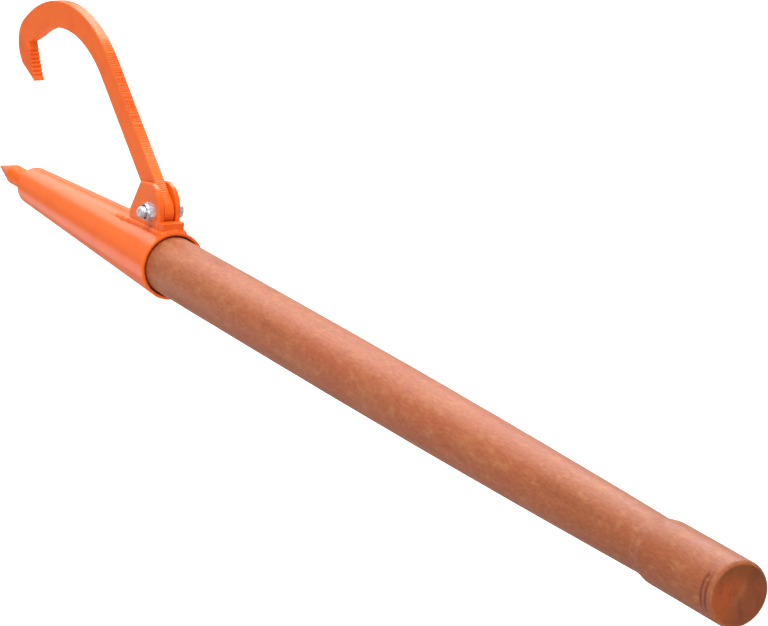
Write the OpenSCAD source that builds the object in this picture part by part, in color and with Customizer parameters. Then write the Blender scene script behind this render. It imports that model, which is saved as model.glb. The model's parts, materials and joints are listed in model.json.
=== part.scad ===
// Peavey: a straight wooden handle driven into a tapered steel socket with a
// spike at its nose and a swinging hook held between two ears.
// The origin is the centre of the handle's end face. +X runs along the handle,
// away from the spike. +Z is the hook's side. The hook swings about Y.
// Lengths are in millimetres.

/* [Handle] */
// Length of handle that shows, from the socket's mouth to its end
handle_len = 874; // [640:2:1100]
// Length of the straight grip at the end
grip_len = 92; // [60:1:140]
// Length of the swell between the neck and the grip
swell_len = 20; // [12:1:40]
// Diameter of the grip
grip_d = 50; // [40:0.5:60]
// Diameter of the neck, just before the swell
neck_d = 45; // [34:0.5:50]
// Diameter of the belly, the thickest part of the long taper
belly_d = 52; // [48:0.5:64]
// Rounding of the handle's end
end_round = 4; // [1:0.5:10]
// Air left between the end of the tenon and the bottom of the socket's bore
tenon_gap = 12; // [4:1:30]

/* [Socket] */
// Length of the socket, from its mouth to the face of its nose
socket_len = 277; // [220:1:350]
// Outer diameter of the mouth
mouth_d = 58.4; // [50:0.2:72]
// Outer diameter of the cone where the rounded nose begins
shoulder_d = 34; // [27:0.2:40]
// Length of the rounded nose
nose_len = 6; // [3:0.5:20]
// Diameter of the nose's flat face
nose_face_d = 22.6; // [21:0.2:26]
// Thickness of the wall
socket_wall = 2.8; // [2:0.1:4]
// Length of the solid nose that holds the spike
nose_wall = 34; // [26:1:60]
// Gap between the handle and the wall at the mouth
mouth_gap = 1.4; // [0.4:0.1:2.5]
// Height of the weld bead along the socket's seam
seam_h = 1.2; // [0.6:0.1:2]
// Radius of that bead's crown
seam_r = 3.2; // [2:0.1:5]

/* [Spike] */
// Diameter of the spike
spike_d = 17.5; // [12:0.1:18.4]
// Length of spike that stands out of the nose
spike_out = 68; // [40:1:90]
// Length of its ground point
point_len = 31; // [16:1:36]
// Diameter of the blunted tip
tip_d = 1.2; // [0.6:0.1:4]

/* [Clevis] */
// Thickness of each ear
ear_t = 4.5; // [3:0.1:7]
// Play on each side of the hook, between the ears
side_play = 0.85; // [0.4:0.05:2]
// Length of an ear along the socket
ear_foot = 55.5; // [46:0.5:72]
// Height of an ear's front edge above the mouth's top
ear_knee = 4.8; // [2:0.1:8]
// Radius of an ear's round top
ear_r = 19.7; // [16:0.1:26]
// Height of that round's centre above the bolt
ear_lift = 2.8; // [0:0.1:6]
// Distance from the foot's front back to the corner at an ear's front top
corner_back = 17.2; // [10:0.1:24]
// Height of that corner above the bolt
corner_lift = 19.6; // [10:0.1:22]
// Width of the chamfer round an ear's outer face
ear_bevel = 0.9; // [0.3:0.1:1.6]
// Length of the stop block along the socket
block_len = 7.9; // [5:0.1:16]
// Height of the stop block above the mouth's top
block_h = 7.1; // [4:0.1:11]
// Distance from the socket's mouth to the stop block
block_inset = 3.4; // [2.4:0.1:6]
// Radius of the weld beads along the ears
weld_r = 3.4; // [2:0.1:4.5]
// Length of the low bead that runs on in front of each ear
lead_len = 20; // [8:1:50]
// Radius of the weld bead behind the stop block
block_weld_r = 2.2; // [0.8:0.1:2.4]

/* [Hook] */
// Thickness of the hook's plate
hook_t = 9.5; // [6:0.1:14]
// Width of the shank
hook_w = 22.6; // [18:0.1:30]
// Distance from the bolt to the middle of the shank, towards the hook's back
shank_rise = 1.4; // [0:0.1:3]
// Length of the straight shank, from the bolt to where the crown begins
shank_len = 147; // [110:1:190]
// Outer radius of the crown
crown_r = 133; // [110:1:162]
// Width of the plate over the crown
crown_w = 25.2; // [20:0.1:32]
// Outer radius of the heel, where the crown turns into the claw
heel_r = 24.5; // [20:0.1:28]
// Distance from the heel's centre to the claw's tip
claw_len = 33; // [29:0.5:40]
// Width of the claw's blunt tip
claw_flat = 1.4; // [0.6:0.1:3]
// Number of bite grooves across the claw
bite_count = 7; // [0:1:9]
// Depth of a bite groove
bite_depth = 1.1; // [0.3:0.1:1.4]
// Rest angle of the shank above the socket, in degrees
hook_angle = 40; // [24:1:110]
// Room between the round end of the hook and the socket below it
eye_clear = 1.4; // [1:0.05:5]
// Room between the round end of the hook and the stop block's front
eye_gap = 0.45; // [0.3:0.05:3]

/* [Bolt] */
// Diameter of the pivot bolt
bolt_d = 9.5; // [8:0.5:12]
// Length of the bolt under its head
bolt_len = 33; // [28:0.5:42]
// Width across the flats of the head and the nut
hex_af = 14.3; // [14:0.1:20]
// Height of the head
head_h = 6.2; // [4:0.1:9]
// Height of the nut's hexagon
nut_h = 5.6; // [4:0.1:8]
// Height of the nut's round collar
collar_h = 2.4; // [2:0.1:4]
// Width of the plastic locking ring in the collar
ring_w = 1.2; // [0.8:0.1:1.6]
// Thickness of the collar's wall
collar_wall = 0.9; // [0.6:0.1:1.2]
// Turn of the nut about the bolt, in degrees
nut_turn = 20; // [0:1:59]
// Turn of the bolt's head, in degrees
head_turn = 30; // [0:1:59]

/* [Hidden] */
$fn = 96;

// Radial clearance of the bolt in the hook, the ears and the nut
pin_fit = 0.08;
// Radial clearance of the driven tenon and of the spike in its bore
drive_fit = 0.05;
// Overlap that lets a cut run past a face
over = 1;
// Steps along a curved profile
steps = 12;
steel_paint = "#ee7138";
bare_steel = "#cfc6c2";
zinc = "#d9dcdf";
wood = "#bb7a58";
nylon = "#22303c";

// Radii of the socket, and depths measured from its mouth towards the spike
mouth_r = mouth_d / 2;
shoulder_r = shoulder_d / 2;
shoulder_at = socket_len - nose_len;
nose_face_r = nose_face_d / 2;
slope = (mouth_r - shoulder_r) / shoulder_at;
bore_end = socket_len - nose_wall;
tenon_len = bore_end - tenon_gap;
throat_start = (mouth_gap - drive_fit) / slope;
function socket_r(depth) = mouth_r - slope * depth;
function bore_r(depth) = socket_r(depth) - socket_wall;

// Radii and stations of the handle, measured from the mouth towards its end
handle_r = bore_r(0) - mouth_gap;
belly_r = belly_d / 2;
neck_r = neck_d / 2;
grip_r = grip_d / 2;
grip_at = handle_len - grip_len;
neck_at = grip_at - swell_len;
belly_at = 0.42 * neck_at;
function taper_r(x) = x < belly_at
    ? belly_r - (belly_r - handle_r) * pow(1 - x / belly_at, 2)
    : belly_r - (belly_r - neck_r) * pow((x - belly_at) / (neck_at - belly_at), 2);
function swell_r(t) = neck_r + (grip_r - neck_r) * (1 - cos(180 * t)) / 2;

spike_r = spike_d / 2;
bolt_r = bolt_d / 2;
hole_r = bolt_r + pin_fit;
ring_r = hole_r + ring_w;

// The clevis, seen from the side: X runs back from the mouth, Z up from the axis
hook_half = hook_w / 2;
eye_r = hook_half + shank_rise;
slot_half = hook_t / 2 + side_play;
clevis_half = slot_half + ear_t;
ear_rear = -block_inset - block_len;
ear_front = ear_rear - ear_foot;
pivot_x = ear_rear - eye_gap - eye_r;
pivot_z = socket_r(-pivot_x) + eye_clear + eye_r;
// Height of the socket's surface at a depth from the mouth and a distance from the middle
function surface_z(depth, side) = sqrt(pow(socket_r(depth), 2) - pow(side, 2));

// The hook in its own plane: x runs along the shank, y towards its back
function heading(angle) = [cos(angle), sin(angle)];
throat_r = crown_r - crown_w;
crown_c = [shank_len, eye_r - crown_r];
throat_c = [shank_len, eye_r - hook_w - throat_r];
heel_dir = 8.7;
heel_c = crown_c + (crown_r - heel_r) * heading(heel_dir);
claw_dir = 207;
claw_tip = heel_c + claw_len * heading(claw_dir);
claw_root = heel_c + [3.6, -2.1];
throat_dir = 15.4;
throat_end = throat_c + throat_r * heading(throat_dir);
claw_side = (claw_root - claw_tip) / norm(claw_root - claw_tip);
claw_lip = claw_tip + claw_flat * [claw_side.y, -claw_side.x];
lip_way = heel_c - claw_lip;
touch_r = heel_r - 0.1;
lip_dir = atan2(lip_way.y, lip_way.x) - asin(touch_r / norm(lip_way));
heel_touch = heel_c + touch_r * [sin(lip_dir), -cos(lip_dir)];
bite_pitch = 3.7;
bite_start = 5;

// Moves what is drawn from the socket's mouth to the part's own origin
module place() {
    translate([-handle_len, 0, 0]) children();
}

// Turns a profile of [radius, x] round the handle's axis
module turned() {
    rotate([0, 90, 0]) rotate_extrude() children();
}

// The hook's pivot, with Z along the bolt towards the head
module at_pivot() {
    translate([pivot_x, 0, pivot_z]) rotate([-90, 0, 0]) children();
}

// The space that the socket fills, without its bore
module socket_body() {
    turned() polygon([
        [0, over], [mouth_r + slope * over, over], [shoulder_r, -shoulder_at], [0, -shoulder_at]
    ]);
}

module handle() {
    taper = [for (i = [0:2 * steps]) let (x = neck_at * i / (2 * steps)) [taper_r(x), x]];
    swell = [for (i = [1:steps]) [swell_r(i / steps), neck_at + swell_len * i / steps]];
    butt = [
        for (i = [0:steps]) let (a = 90 * i / steps)
            [grip_r - end_round * (1 - cos(a)), handle_len - end_round * (1 - sin(a))]
    ];
    tenon = [
        [0, -tenon_len],
        [bore_r(tenon_len) - drive_fit, -tenon_len],
        [handle_r, -throat_start]
    ];
    color(wood) place() turned() polygon(concat(tenon, taper, swell, butt, [[0, handle_len]]));
}

module socket() {
    nose = [
        for (i = [0:steps]) let (a = 90 * i / steps)
            [nose_face_r + (shoulder_r - nose_face_r) * cos(a), -shoulder_at - nose_len * sin(a)]
    ];
    bore = [
        [spike_r + drive_fit, -socket_len],
        [spike_r + drive_fit, -bore_end],
        [bore_r(bore_end), -bore_end],
        [bore_r(0), 0]
    ];
    color(steel_paint) place() turned() polygon(concat([[mouth_r, 0]], nose, bore));
}

// The long bead that closes the rolled socket, from the ears to the nose
module seam_weld() {
    start = -ear_front + 1.5;
    run = shoulder_at - start - 6;
    color(steel_paint) place() difference() {
        translate([-start, 0, socket_r(start) + seam_h - seam_r]) rotate([0, -90 - atan(slope), 0]) {
            cylinder(r = seam_r, h = run);
            translate([0, 0, run]) sphere(r = seam_r);
        }
        socket_body();
    }
}

module spike() {
    base = -socket_len - spike_out + point_len;
    color(bare_steel) place() turned() polygon([
        [0, -bore_end + 3],
        [spike_r, -bore_end + 3],
        [spike_r, base],
        [tip_d / 2, -socket_len - spike_out],
        [0, -socket_len - spike_out]
    ]);
}

// The fillet weld between the nose's face and the spike
module spike_weld() {
    leg = nose_face_r - spike_r - drive_fit - 0.2;
    fillet = [
        for (i = [0:6]) let (a = 15 * i)
            [spike_r + drive_fit + leg * cos(a), -socket_len - leg * sin(a)]
    ];
    color(steel_paint) place() turned()
        polygon(concat([[spike_r + drive_fit, -socket_len]], fillet));
}

// The outline of an ear: a straight front up to its corner, and a round top
module ear_outline() {
    hull() {
        translate([ear_rear - ear_r, pivot_z + ear_lift]) circle(r = ear_r, $fn = 64);
        polygon([
            [ear_front, 0],
            [ear_front, mouth_r + ear_knee],
            [ear_front + corner_back, pivot_z + corner_lift],
            [ear_rear, pivot_z],
            [ear_rear, 0]
        ]);
    }
}

// An ear from the slot outwards, along +Z, with its outer face chamfered
module ear() {
    difference() {
        hull() {
            linear_extrude(ear_t - ear_bevel) ear_outline();
            linear_extrude(ear_t) offset(delta = -ear_bevel) ear_outline();
        }
        translate([pivot_x, pivot_z, -over]) cylinder(r = hole_r, h = ear_t + 2 * over);
    }
}

module ear_left() {
    color(steel_paint) place() difference() {
        translate([0, -slot_half, 0]) rotate([90, 0, 0]) ear();
        socket_body();
    }
}

module ear_right() {
    color(steel_paint) place() difference() {
        mirror([0, 1, 0]) translate([0, -slot_half, 0]) rotate([90, 0, 0]) ear();
        socket_body();
    }
}

// The block behind the ears that the hook's back comes to rest on
module block_shape() {
    translate([ear_rear, -clevis_half, 0])
        cube([block_len, 2 * clevis_half, mouth_r + block_h]);
}

module stop_block() {
    color(steel_paint) place() difference() {
        block_shape();
        socket_body();
    }
}

// A round-ended bead along the socket, with its middle sunk below the surface
module bead(front, rear, side, radius, sink) {
    rise = surface_z(rear, side) - surface_z(front, side);
    run = norm([front - rear, rise]);
    translate([-front, -side, surface_z(front, side) - sink])
        rotate([0, 90 - atan2(rise, front - rear), 0])
            rotate_extrude() polygon([
                [0, -radius],
                [radius * 0.6, -radius * 0.8],
                [radius * 0.9, -radius * 0.44],
                [radius, 0],
                [radius, run],
                [radius * 0.9, run + radius * 0.44],
                [radius * 0.6, run + radius * 0.8],
                [0, run + radius]
            ]);
}

// The beads of one side: along its ear and the stop block, and low in front of the ear
module side_weld() {
    rear = block_inset + 0.8;
    difference() {
        union() {
            bead(1 - ear_front, rear, clevis_half, weld_r, 0.15 * weld_r);
            bead(lead_len - ear_front, weld_r - ear_front, clevis_half - 1.4, 1.5 * weld_r, weld_r);
        }
        translate([ear_front, -clevis_half, 0])
            cube([weld_r - ear_front, 2 * clevis_half, mouth_r + block_h]);
        socket_body();
    }
}

module ear_weld_left() {
    color(steel_paint) place() side_weld();
}

module ear_weld_right() {
    color(steel_paint) place() mirror([0, 1, 0]) side_weld();
}

// The bead across the mouth's top, behind the stop block
module block_weld() {
    sweep = asin((clevis_half - 1) / mouth_r);
    color(steel_paint) place() difference() {
        rotate([0, 90, 0]) rotate([0, 0, 180 - sweep]) rotate_extrude(angle = 2 * sweep)
            translate([socket_r(block_inset), -block_inset]) circle(r = block_weld_r, $fn = 48);
        block_shape();
        socket_body();
    }
}

// The open space inside the crown and the claw
module throat() {
    intersection() {
        translate(throat_c) circle(r = throat_r);
        polygon([
            throat_c,
            throat_c + 2 * throat_r * heading(throat_dir),
            throat_c + 2 * throat_r * [1, 1],
            throat_c + 2 * throat_r * [0, 1]
        ]);
    }
    polygon([claw_tip, claw_root, throat_end, throat_c]);
}

// The hook's outline, with the bolt's hole at the origin
module hook_outline() {
    circle(r = eye_r);
    translate([0, eye_r - hook_w]) square([shank_len, hook_w]);
    difference() {
        union() {
            intersection() {
                translate(crown_c) circle(r = crown_r);
                polygon([
                    [shank_len - over, eye_r - hook_w],
                    [shank_len, eye_r - hook_w],
                    [shank_len, throat_c.y + 0.8 * throat_r],
                    heel_c,
                    crown_c + 1.5 * crown_r * heading(heel_dir),
                    crown_c + 1.5 * crown_r * [1, 1],
                    [shank_len - over, hook_w]
                ]);
            }
            translate(heel_c) circle(r = heel_r);
        }
        throat();
    }
}

// The claw's wedge, which runs on into the heel
module claw_outline() {
    polygon([claw_tip, claw_root, heel_c + heel_r / 2 * [1, -1], heel_touch, claw_lip]);
}

module hook() {
    color(steel_paint) place() at_pivot() rotate([0, 0, 180 + hook_angle])
        difference() {
            translate([0, 0, -hook_t / 2]) {
                linear_extrude(hook_t) hook_outline();
                linear_extrude(hook_t) claw_outline();
            }
            translate([0, 0, -hook_t / 2 - over]) cylinder(r = hole_r, h = hook_t + 2 * over);
            for (i = [0:bite_count - 1])
                translate(claw_tip + (bite_start + bite_pitch * i) * claw_side)
                    rotate([0, 0, 45 + atan2(claw_side.y, claw_side.x)])
                        cube([bite_depth * sqrt(2), bite_depth * sqrt(2), 2 * hook_t], center = true);
        }
}

// A hexagon across the flats, with its outer corners turned down
module hex_head(height) {
    corner_r = hex_af / sqrt(3);
    drop = (corner_r - hex_af * 0.48) * tan(30);
    intersection() {
        cylinder(r = corner_r, h = height, $fn = 6);
        rotate_extrude() polygon([
            [0, 0],
            [corner_r + over, 0],
            [corner_r + over, height - drop - over * tan(30)],
            [hex_af * 0.48, height],
            [0, height]
        ]);
    }
}

module pivot_bolt() {
    color(zinc) place() at_pivot() {
        translate([0, 0, clevis_half]) rotate([0, 0, head_turn]) hex_head(head_h);
        translate([0, 0, clevis_half - bolt_len]) rotate_extrude() polygon([
            [0, 0], [bolt_r - 1, 0], [bolt_r, 1], [bolt_r, bolt_len + 1], [0, bolt_len + 1]
        ]);
    }
}

module nut() {
    color(zinc) place() at_pivot() mirror([0, 0, 1]) translate([0, 0, clevis_half]) difference() {
        union() {
            rotate([0, 0, nut_turn]) hex_head(nut_h);
            cylinder(r = ring_r + drive_fit + collar_wall, h = nut_h + collar_h);
        }
        translate([0, 0, -over]) cylinder(r = hole_r, h = nut_h + collar_h + 2 * over);
        translate([0, 0, nut_h - 0.4]) cylinder(r = ring_r + drive_fit, h = collar_h);
        translate([0, 0, nut_h]) cylinder(r = ring_r - 0.4, h = collar_h + over);
    }
}

// The plastic ring that locks the nut
module lock_ring() {
    color(nylon) place() at_pivot() mirror([0, 0, 1]) translate([0, 0, clevis_half + nut_h - 0.35])
        difference() {
            cylinder(r = ring_r, h = collar_h - 0.1);
            translate([0, 0, -over]) cylinder(r = hole_r, h = collar_h + 2 * over);
        }
}

handle();
socket();
seam_weld();
spike();
spike_weld();
ear_left();
ear_right();
stop_block();
ear_weld_left();
ear_weld_right();
block_weld();
hook();
pivot_bolt();
nut();
lock_ring();
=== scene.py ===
"""The looks of a peavey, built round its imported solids.

The handle lies along X with its end face at the origin, the point is at -X, and the
hook is on the +Z side. The nut is at -Y. Lengths are in metres.
"""

import json
import logging
import math
from collections.abc import Callable, Sequence
from dataclasses import dataclass, field
from enum import Enum

import bmesh
import bpy
from mathutils import Matrix, Vector, noise
from mathutils.geometry import interpolate_bezier

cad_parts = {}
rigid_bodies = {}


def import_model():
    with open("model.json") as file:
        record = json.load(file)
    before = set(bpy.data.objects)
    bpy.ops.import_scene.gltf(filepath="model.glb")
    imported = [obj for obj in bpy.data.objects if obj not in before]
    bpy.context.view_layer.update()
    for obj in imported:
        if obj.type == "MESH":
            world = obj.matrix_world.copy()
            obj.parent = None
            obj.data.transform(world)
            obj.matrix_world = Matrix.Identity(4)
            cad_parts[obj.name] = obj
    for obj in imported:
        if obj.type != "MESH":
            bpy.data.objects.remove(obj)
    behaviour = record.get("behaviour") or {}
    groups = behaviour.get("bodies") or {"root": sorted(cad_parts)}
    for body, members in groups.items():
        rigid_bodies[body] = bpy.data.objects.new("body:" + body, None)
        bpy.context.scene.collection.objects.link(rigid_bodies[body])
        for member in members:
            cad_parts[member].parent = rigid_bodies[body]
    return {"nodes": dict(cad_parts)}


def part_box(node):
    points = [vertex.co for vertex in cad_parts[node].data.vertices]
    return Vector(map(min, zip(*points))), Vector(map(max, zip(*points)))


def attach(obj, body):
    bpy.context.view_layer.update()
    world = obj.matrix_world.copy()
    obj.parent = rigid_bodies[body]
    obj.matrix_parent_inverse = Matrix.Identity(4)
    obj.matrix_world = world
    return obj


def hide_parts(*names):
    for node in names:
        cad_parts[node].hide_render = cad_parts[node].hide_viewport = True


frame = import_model()

LOG = logging.getLogger("peavey")
MM = 0.001
MERGE = 0.002 * MM
Colour = tuple[float, float, float, float]
WHITE: Colour = (1.0, 1.0, 1.0, 1.0)
BLACK: Colour = (0.0, 0.0, 0.0, 1.0)
Shape = Callable[[float, float, float], tuple[float, float]]


class Body(Enum):
    """The rigid bodies that a piece can move with."""

    POLE = "pole"
    HOOK = "hook"


class Slot(Enum):
    """The material slots of the record."""

    WOOD = "handle_wood"
    PAINT = "painted_steel"
    POINT = "point_steel"
    PLATING = "plated_steel"
    PLASTIC = "lock_plastic"


class Side(Enum):
    """The two sides of the clevis."""

    NUT = -1
    HEAD = 1


def tone(red: int, green: int, blue: int) -> Colour:
    """Turns a screen colour of 0 to 255 into the linear colour that shaders take.

    Args:
        red: Red part.
        green: Green part.
        blue: Blue part.

    Returns:
        The linear colour with full alpha.
    """
    def linear(part: int) -> float:
        """Gives one part on a linear scale."""
        value = part / 255
        return value / 12.92 if value <= 0.04045 else ((value + 0.055) / 1.055) ** 2.4

    return (linear(red), linear(green), linear(blue), 1.0)


class Signal:
    """A number in a node tree that can be used in sums, products and powers."""

    def __init__(self, graph: "Graph", socket: bpy.types.NodeSocket) -> None:
        """Wraps an output socket."""
        self.graph = graph
        self.socket = socket

    def math(self, operation: str, *others: "Signal | float", clamp: bool = False) -> "Signal":
        """Adds a Math node that starts from this number.

        Args:
            operation: The node's operation.
            others: The second and third operand.
            clamp: True to hold the result between 0 and 1.

        Returns:
            The node's result.
        """
        return self.graph.number(operation, self, *others, clamp=clamp)

    def __add__(self, other: "Signal | float") -> "Signal":
        """Adds."""
        return self.math("ADD", other)

    __radd__ = __add__

    def __sub__(self, other: "Signal | float") -> "Signal":
        """Subtracts."""
        return self.math("SUBTRACT", other)

    def __rsub__(self, other: float) -> "Signal":
        """Subtracts this from a number."""
        return self.graph.number("SUBTRACT", other, self)

    def __mul__(self, other: "Signal | float") -> "Signal":
        """Multiplies."""
        return self.math("MULTIPLY", other)

    __rmul__ = __mul__

    def __truediv__(self, other: "Signal | float") -> "Signal":
        """Divides."""
        return self.math("DIVIDE", other)

    def __rtruediv__(self, other: float) -> "Signal":
        """Divides a number by this."""
        return self.graph.number("DIVIDE", other, self)

    def __neg__(self) -> "Signal":
        """Turns the sign."""
        return self.math("MULTIPLY", -1.0)

    def __abs__(self) -> "Signal":
        """Drops the sign."""
        return self.math("ABSOLUTE")

    def __pow__(self, other: "Signal | float") -> "Signal":
        """Raises to a power."""
        return self.math("POWER", other)


class Graph:
    """Builds a node tree, for a finish or for a mesh."""

    def __init__(self, tree: bpy.types.NodeTree) -> None:
        """Empties the tree that it is given."""
        self.tree = tree
        tree.nodes.clear()

    def add(self, kind: str, settings: dict | None = None, inputs: dict | None = None) -> bpy.types.Node:
        """Adds a node.

        Args:
            kind: The node's type.
            settings: Its own settings, which are set first.
            inputs: Values or links of its sockets, by name, identifier or place.

        Returns:
            The new node.
        """
        node = self.tree.nodes.new(kind)
        for name, value in (settings or {}).items():
            setattr(node, name, value)
        for name, value in (inputs or {}).items():
            self._feed(self.pick(node.inputs, name), value)
        return node

    @staticmethod
    def pick(sockets: bpy.types.bpy_prop_collection, name: str | int) -> bpy.types.NodeSocket:
        """Finds a socket by place, identifier or name among those in use."""
        if isinstance(name, int):
            return sockets[name]
        in_use = [socket for socket in sockets if socket.enabled]
        known = [socket for socket in in_use if socket.identifier == name]
        return (known or [socket for socket in in_use if socket.name == name])[0]

    def _feed(self, socket: bpy.types.NodeSocket, value: object) -> None:
        """Links a signal to a socket, or sets the socket's own value."""
        if isinstance(value, Signal):
            self.tree.links.new(value.socket, socket)
        elif isinstance(value, bpy.types.NodeSocket):
            self.tree.links.new(value, socket)
        else:
            socket.default_value = value

    def number(self, operation: str, *operands: "Signal | float", clamp: bool = False) -> Signal:
        """Adds a Math node.

        Args:
            operation: The node's operation.
            operands: Numbers or signals, in the node's order.
            clamp: True to hold the result between 0 and 1.

        Returns:
            The node's result.
        """
        settings = {"operation": operation, "use_clamp": clamp}
        node = self.add("ShaderNodeMath", settings, dict(enumerate(operands)))
        return Signal(self, node.outputs[0])

    def place(self) -> bpy.types.NodeSocket:
        """Gives the point's own coordinates on its object, in metres."""
        return self.add("ShaderNodeTexCoord").outputs["Object"]

    def facing(self) -> tuple[Signal, Signal, Signal]:
        """Gives the three parts of the surface's own direction."""
        return self.parts(self.add("ShaderNodeTexCoord").outputs["Normal"])

    def parts(self, vector: bpy.types.NodeSocket) -> tuple[Signal, Signal, Signal]:
        """Splits a vector into its X, Y and Z."""
        node = self.add("ShaderNodeSeparateXYZ", inputs={0: vector})
        return tuple(Signal(self, out) for out in node.outputs)

    def vector(self, x: Signal | float, y: Signal | float, z: Signal | float) -> bpy.types.NodeSocket:
        """Joins three numbers to a vector."""
        return self.add("ShaderNodeCombineXYZ", inputs={0: x, 1: y, 2: z}).outputs[0]

    def stretched(self, vector: bpy.types.NodeSocket, scale: Sequence[float]) -> bpy.types.NodeSocket:
        """Multiplies a vector by a scale on each axis.

        Args:
            vector: The vector.
            scale: Its factor on each axis.

        Returns:
            The product.
        """
        settings = {"operation": "MULTIPLY"}
        node = self.add("ShaderNodeVectorMath", settings, {0: vector, 1: tuple(scale)})
        return node.outputs[0]

    def scaled(self, vector: bpy.types.NodeSocket, factor: Signal | bpy.types.NodeSocket) -> bpy.types.NodeSocket:
        """Multiplies a vector by a number."""
        node = self.add("ShaderNodeVectorMath", {"operation": "SCALE"}, {0: vector, "Scale": factor})
        return node.outputs[0]

    def noise(self, vector: bpy.types.NodeSocket, scale: float, detail: float = 2.0,
              rough: float = 0.5) -> Signal:
        """Adds a noise that is about 0.5 on average.

        Args:
            vector: Where it is read.
            scale: Features for each metre.
            detail: Octaves.
            rough: Weight of the fine octaves.

        Returns:
            The noise's value.
        """
        inputs = {"Vector": vector, "Scale": scale, "Detail": detail, "Roughness": rough}
        return Signal(self, self.add("ShaderNodeTexNoise", inputs=inputs).outputs[0])

    def span(self, value: Signal, low: float, high: float) -> Signal:
        """Maps low..high to 0..1 smoothly and holds it there.

        Args:
            value: The number to map.
            low: What becomes 0.
            high: What becomes 1.

        Returns:
            The mapped number.
        """
        settings = {"interpolation_type": "SMOOTHSTEP"}
        inputs = {"Value": value, "From Min": low, "From Max": high}
        return Signal(self, self.add("ShaderNodeMapRange", settings, inputs).outputs[0])

    def blend(self, factor: Signal | float, first: object, second: object) -> bpy.types.NodeSocket:
        """Mixes two colours.

        Args:
            factor: Share of the second.
            first: Colour or socket.
            second: Colour or socket.

        Returns:
            The mixed colour.
        """
        inputs = {"Factor_Float": factor, "A_Color": first, "B_Color": second}
        node = self.add("ShaderNodeMix", {"data_type": "RGBA"}, inputs)
        return self.pick(node.outputs, "Result_Color")

    def bump(self, height: Signal, depth: float,
             under: bpy.types.NodeSocket | None = None) -> bpy.types.NodeSocket:
        """Turns a height of 0 to 1 into a bent normal.

        Args:
            height: The height.
            depth: What a height of 1 is, in metres.
            under: The normal of a finer relief that this one carries.

        Returns:
            The normal.
        """
        inputs = {"Distance": depth, "Height": height}
        if under:
            inputs["Normal"] = under
        return self.add("ShaderNodeBump", inputs=inputs).outputs[0]

    def close(self, **inputs: object) -> None:
        """Adds the surface shader and the output.

        Args:
            inputs: The shader's sockets, with an underscore for each space.
        """
        named = {name.replace("_", " "): value for name, value in inputs.items()}
        shader = self.add("ShaderNodeBsdfPrincipled", inputs=named)
        self.add("ShaderNodeOutputMaterial", inputs={"Surface": shader.outputs[0]})


def material(name: str) -> tuple[bpy.types.Material, Graph]:
    """Makes an empty material.

    Args:
        name: Its name.

    Returns:
        The material and the builder of its tree.
    """
    made = bpy.data.materials.new(name)
    made.use_nodes = True
    return made, Graph(made.node_tree)


@dataclass(frozen=True)
class TurningMark:
    """A groove that the turner's gouge left round the handle, deepest on one side, and darkened with painted
    shade.

    Angles are in degrees round the handle, from the hook's side towards the nut's.
    """

    station: float
    width: float
    depth: float
    toward: float = 85.0
    reach: float = 48.0
    all_round: float = 0.2
    # Share of the painted shade that darkens this groove in the wood's colour.
    colour: float = 1.0

    def at(self, x: float, angle: float) -> float:
        """Gives the groove's depth at a station and an angle in radians."""
        near = 1 - abs(x - self.station) / self.width
        if near <= 0:
            return 0.0
        off = abs((math.degrees(angle) - self.toward + 180) % 360 - 180)
        arc = max(0.0, 1 - off / self.reach)
        share = self.all_round + (1 - self.all_round) * math.sin(arc * math.pi / 2)
        return self.depth * share * math.sin(near * math.pi / 2) ** 2

    def groove_shade(self, graph: Graph, along: Signal, y: Signal, z: Signal) -> Signal:
        """Gives 1 in the groove and 0 away from it, for the painted shade that darkens the groove in the wood's
        colour.
        """
        turn = math.radians(self.toward)
        far = (y * y + z * z) ** 0.5
        cosine = (z * math.cos(turn) - y * math.sin(turn)) / far
        arc = graph.span(cosine, math.cos(math.radians(self.reach)), 1.0)
        share = arc * (1 - self.all_round) + self.all_round
        return (1 - graph.span(abs(along - self.station), self.width * 0.25, self.width)) * share


# The lathe's grooves; the last field of each sets how much painted shade darkens it.
TURNING_MARKS = (
    TurningMark(-5.6 * MM, 2.5 * MM, 0.42 * MM, toward=88, reach=46, all_round=0.05),
    TurningMark(-10.9 * MM, 2.5 * MM, 0.34 * MM, toward=84, reach=44, all_round=0.05),
    TurningMark(-9.4 * MM, 1.2 * MM, 0.7 * MM, toward=57, reach=5, all_round=0.0),
    TurningMark(-101.0 * MM, 6.5 * MM, 0.38 * MM, toward=80, reach=75, all_round=0.15, colour=0.12),
)


@dataclass(frozen=True)
class PowderCoat:
    """Orange powder coat with a fine orange-peel surface."""

    name: str = "orange_powder_coat"
    body: Colour = tone(236, 101, 24)
    deep: Colour = tone(228, 84, 18)
    dusty: Colour = tone(242, 118, 44)
    deep_share: float = 0.6
    dusty_share: float = 0.35
    roughness: float = 0.42
    shine: float = 0.1
    gloss: float = 0.34
    gloss_roughness: float = 0.2
    cloud_per_metre: float = 30.0
    speck_per_metre: float = 330.0
    peel_per_metre: float = 1300.0
    peel_depth: float = 0.035 * MM

    def make(self) -> bpy.types.Material:
        """Builds the material."""
        made, graph = material(self.name)
        place = graph.place()
        cloud = graph.noise(place, self.cloud_per_metre, 3.0)
        peel = graph.noise(place, self.peel_per_metre, 1.0)
        speck = graph.noise(place, self.speck_per_metre, 2.0)
        colour = graph.blend(graph.span(cloud, 0.45, 0.75) * self.deep_share, self.body, self.deep)
        colour = graph.blend(graph.span(speck, 0.5, 0.75) * self.dusty_share, colour, self.dusty)
        graph.close(
            Base_Color=colour,
            Roughness=self.roughness + (speck - 0.5) * 0.14,
            Specular_IOR_Level=self.shine,
            Coat_Weight=self.gloss,
            Coat_Roughness=self.gloss_roughness,
            Normal=graph.bump(peel * 0.7 + speck * 0.3, self.peel_depth),
        )
        return made


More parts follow.
